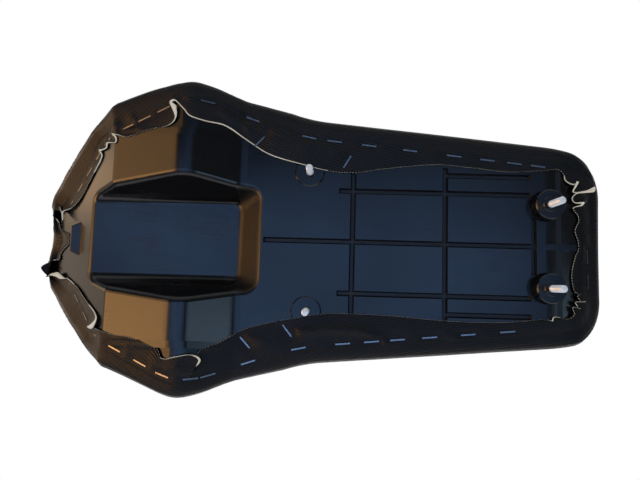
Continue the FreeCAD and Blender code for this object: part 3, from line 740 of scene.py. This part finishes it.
def foam_material():
    """Open-cell foam, hidden inside the seat."""
    s = Shader("open_cell_foam")
    cells = s.node("ShaderNodeTexVoronoi", Vector=s.object_place(), Scale=700.0).outputs["Distance"]
    s.link(s.ramp(cells, [(0.0, (0.30, 0.25, 0.15)), (0.6, (0.62, 0.56, 0.40))]), "Base Color")
    s.link(s.bump(cells, 0.6, 0.6 * MM), "Normal")
    s.set("Roughness", 0.95)
    return s.material


def dress(obj, *materials):
    """Give an object its materials. Clearing resets the faces' material numbers, so an empty list is left alone."""
    if len(obj.data.materials):
        obj.data.materials.clear()
    for material in materials:
        obj.data.materials.append(material)


# Pieces

vinyl, backing = vinyl_material(), backing_material()
zinc = metal_material("bright_zinc", (0.68, 0.73, 0.8), (0.84, 0.88, 0.93), 0.42, 400.0, 0.45)
wire = metal_material("staple_wire", (0.24, 0.23, 0.22), (0.42, 0.4, 0.39), 0.3, 500.0, 1.0)

cover = make_cover()
dress(cover, vinyl, backing)
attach(cover, "root")
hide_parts("seat_cover")

staple_wires = make_staples()
dress(staple_wires, wire)
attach(staple_wires, "root")
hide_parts("staples")

for name, base, tip in (("front_stud_left", -1.0, -17.0), ("front_stud_right", -1.0, -17.0),
                        ("rear_stud_left", -12.0, -32.0), ("rear_stud_right", -12.0, -32.0)):
    stud = make_stud(name, base * MM, tip * MM)
    dress(stud, zinc)
    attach(stud, "root")
    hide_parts(name)

dress(nodes["seat_pan"], plastic_material())
dress(nodes["foam_cushion"], foam_material())


# Stage: surround, floor and camera

def make_world():
    """White to the camera, an even neutral light to matt surfaces, and a coloured surround in what is glossy."""
    world = bpy.data.worlds.new("studio")
    bpy.context.scene.world = world
    world.use_nodes = True
    tree = world.node_tree
    tree.nodes.clear()

    def node(kind, **inputs):
        return add_node(tree, kind, **inputs)

    def part(value, low, high, first=0.0, last=1.0):
        return node("ShaderNodeMapRange", set_interpolation_type="SMOOTHSTEP", set_clamp=True,
                    in0=value, in1=low, in2=high, in3=first, in4=last).outputs[0]

    def tint(weight, color):
        return node("ShaderNodeVectorMath", set_operation="SCALE", in0=color, in3=weight).outputs[0]

    def times(first, *others):
        for other in others:
            first = node("ShaderNodeMath", set_operation="MULTIPLY", in0=first, in1=other).outputs[0]
        return first

    place = node("ShaderNodeTexCoord").outputs["Generated"]
    x, y, z = node("ShaderNodeSeparateXYZ", in0=place).outputs
    aside = node("ShaderNodeMath", set_operation="ABSOLUTE", in0=y).outputs[0]
    near = part(aside, 0.44, 0.27)

    # Cloudy blue below, with a darker patch ahead and to the left
    downward = (0.08, 0.0, -0.997)
    toward = node("ShaderNodeVectorMath", set_operation="DOT_PRODUCT", in0=place, in1=downward).outputs["Value"]
    cloud = node("ShaderNodeTexNoise", in0=place, in2=6.0, in3=2.0).outputs[0]
    patchy = node("ShaderNodeMapRange", in0=cloud, in1=0.36, in2=0.64, in3=0.55, in4=1.35).outputs[0]
    shade = times(part(x, 0.0, 0.12), part(y, 0.15, 0.24))
    lighter = node("ShaderNodeMapRange", in0=shade, in3=1.0, in4=0.2).outputs[0]
    below = times(part(toward, 0.83, 0.93), patchy, part(y, 0.36, 0.12), lighter)

    # Amber ahead below the horizon, dimmer above it, with a lamp, and a blue window behind
    ahead = times(part(x, 0.52, 0.76), near)
    warm = times(ahead, part(z, 0.04, -0.16), part(y, 0.14, -0.1, 1.0, 2.5))
    over = times(ahead, part(z, -0.06, 0.1))
    lamp = times(over, part(y, 0.07, 0.17), part(y, 0.3, 0.2))
    window = times(part(x, -0.5, -0.68), part(z, -0.35, -0.55), part(y, 0.06, -0.06), near)

    glows = ((below, (0.34, 0.66, 1.32)), (warm, (1.9, 0.98, 0.36)), (over, (0.5, 0.38, 0.26)),
             (lamp, (1.12, 0.65, 0.3)), (window, (0.75, 1.15, 1.6)),
             # soft white from both sides and from above, and a dim rest
             (part(aside, 0.5, 0.9), (0.42, 0.42, 0.43)), (part(y, -0.55, -0.85), (0.3, 0.28, 0.31)),
             (part(z, 0.3, 0.7), (0.6, 0.6, 0.61)),
             (times(part(z, 0.45, 0.85), part(y, 0.42, 0.2)), (1.2, 1.2, 1.22)), (1.0, (0.04, 0.048, 0.06)))
    color = tint(*glows[0])
    for weight, tone in glows[1:]:
        color = node("ShaderNodeVectorMath", set_operation="ADD", in0=color, in1=tint(weight, tone)).outputs[0]

    mirrored = node("ShaderNodeBackground", in0=color, in1=1.0).outputs[0]
    even = node("ShaderNodeBackground", in0=(0.9, 0.9, 0.9, 1), in1=1.0).outputs[0]
    white = node("ShaderNodeBackground", in0=(1, 1, 1, 1), in1=1.0).outputs[0]
    path = node("ShaderNodeLightPath").outputs
    lit = node("ShaderNodeMixShader", in0=path["Is Diffuse Ray"], in1=mirrored, in2=even).outputs[0]
    mix = node("ShaderNodeMixShader", in0=path["Is Camera Ray"], in1=lit, in2=white).outputs[0]
    node("ShaderNodeOutputWorld", in0=mix)
    world.cycles.sampling_method = "NONE"


def make_floor():
    """Pale floor under the studs: solid to a camera above it, clear to everything else."""
    size, level = 40.0, cad_box[0][2] - 0.5 * MM
    mesh = bpy.data.meshes.new("floor")
    mesh.from_pydata([(x * size, y * size, level) for x, y in ((-1, -1), (1, -1), (1, 1), (-1, 1))], [], [(0, 1, 2, 3)])
    floor = bpy.data.objects.new("floor", mesh)
    bpy.context.collection.objects.link(floor)
    s = Shader("pale_floor")
    s.set("Base Color", (0.86, 0.86, 0.86, 1))
    s.set("Roughness", 0.9)
    path = s.node("ShaderNodeLightPath").outputs["Is Camera Ray"]
    front = s.math("SUBTRACT", 1.0, s.node("ShaderNodeNewGeometry").outputs["Backfacing"])
    clear = s.node("ShaderNodeBsdfTransparent").outputs[0]
    mix = s.node("ShaderNodeMixShader", in0=s.math("MULTIPLY", path, front), in1=clear, in2=s.surface.outputs[0])
    s.tree.links.new(mix.outputs[0], s.tree.nodes["Material Output"].inputs[0])
    mesh.materials.append(s.material)


def make_camera():
    """Camera below the seat, at the place worked out from the studs and the rim."""
    place = (-0.01898, -0.03648, -0.40955)
    rx, ry, rz = -0.091, 0.021, 0.027
    turn = Matrix.Rotation(rz, 3, "Z") @ Matrix.Rotation(ry, 3, "Y") @ Matrix.Rotation(rx, 3, "X")
    right, down, forward = turn @ Matrix(((-1, 0, 0), (0, -1, 0), (0, 0, 1)))
    data = bpy.data.cameras.new("camera")
    data.sensor_width = 36.0
    data.lens = 27.0
    data.clip_start = 0.01
    camera = bpy.data.objects.new("camera", data)
    bpy.context.collection.objects.link(camera)
    basis = Matrix((right, -down, -forward)).transposed().to_4x4()
    camera.matrix_world = Matrix.Translation(place) @ basis
    bpy.context.scene.camera = camera


make_world()
make_floor()
make_camera()
bpy.context.scene.view_settings.view_transform = "Standard"
